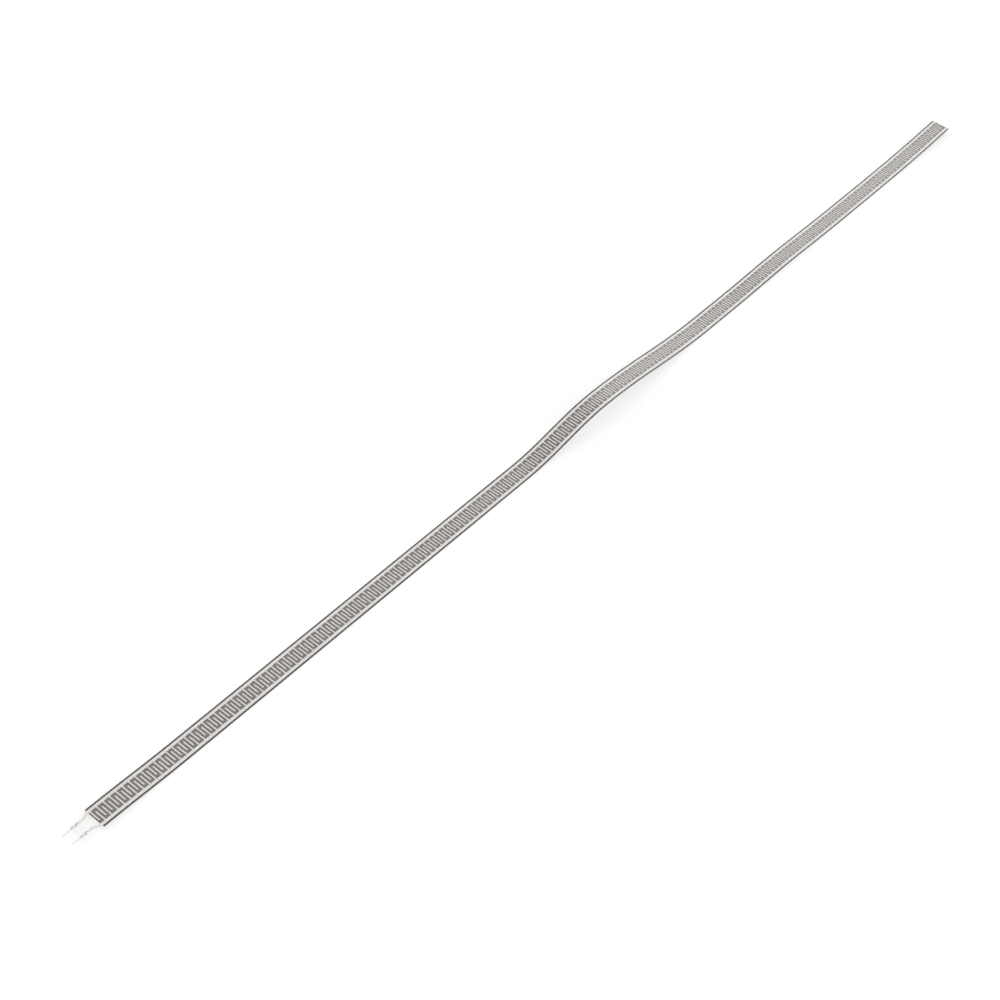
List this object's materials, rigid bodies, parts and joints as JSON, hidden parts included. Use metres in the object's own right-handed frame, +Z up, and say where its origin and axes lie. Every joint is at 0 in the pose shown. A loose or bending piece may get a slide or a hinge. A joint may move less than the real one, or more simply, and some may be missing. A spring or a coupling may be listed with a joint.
{
  "type": "force sensing resistor strip",
  "caption": "Long thin clear film strip with interlocking silver combs over a dark carbon layer, and crimped solder pins on its tail, to sense pressing along its length.",
  "frame": {"origin": "under the middle of the whole length, from the far end to the tips of the solder pins, on the table that the strip lies on", "axes": "+X along the strip, away from the tail; +Y across it, towards the left comb; +Z up, out of the front film"},
  "size_m": [0.6214, 0.0102, 0.0072],
  "materials": {
    "clear_film": "clear glossy polyester film",
    "carbon_ink": "matt printed carbon ink",
    "dark_adhesive": "dark transfer adhesive",
    "silver_ink": "satin printed silver ink",
    "tinned_metal": "bright tin plate on sheet metal"
  },
  "bodies": {
    "root": {"rear_film": "clear_film", "carbon_layer": "carbon_ink", "spacer_adhesive": "dark_adhesive", "silver_comb_left": "silver_ink", "silver_comb_right": "silver_ink", "front_film": "clear_film", "solder_tab_left": "tinned_metal", "solder_tab_right": "tinned_metal"}
  },
  "joints": []
}
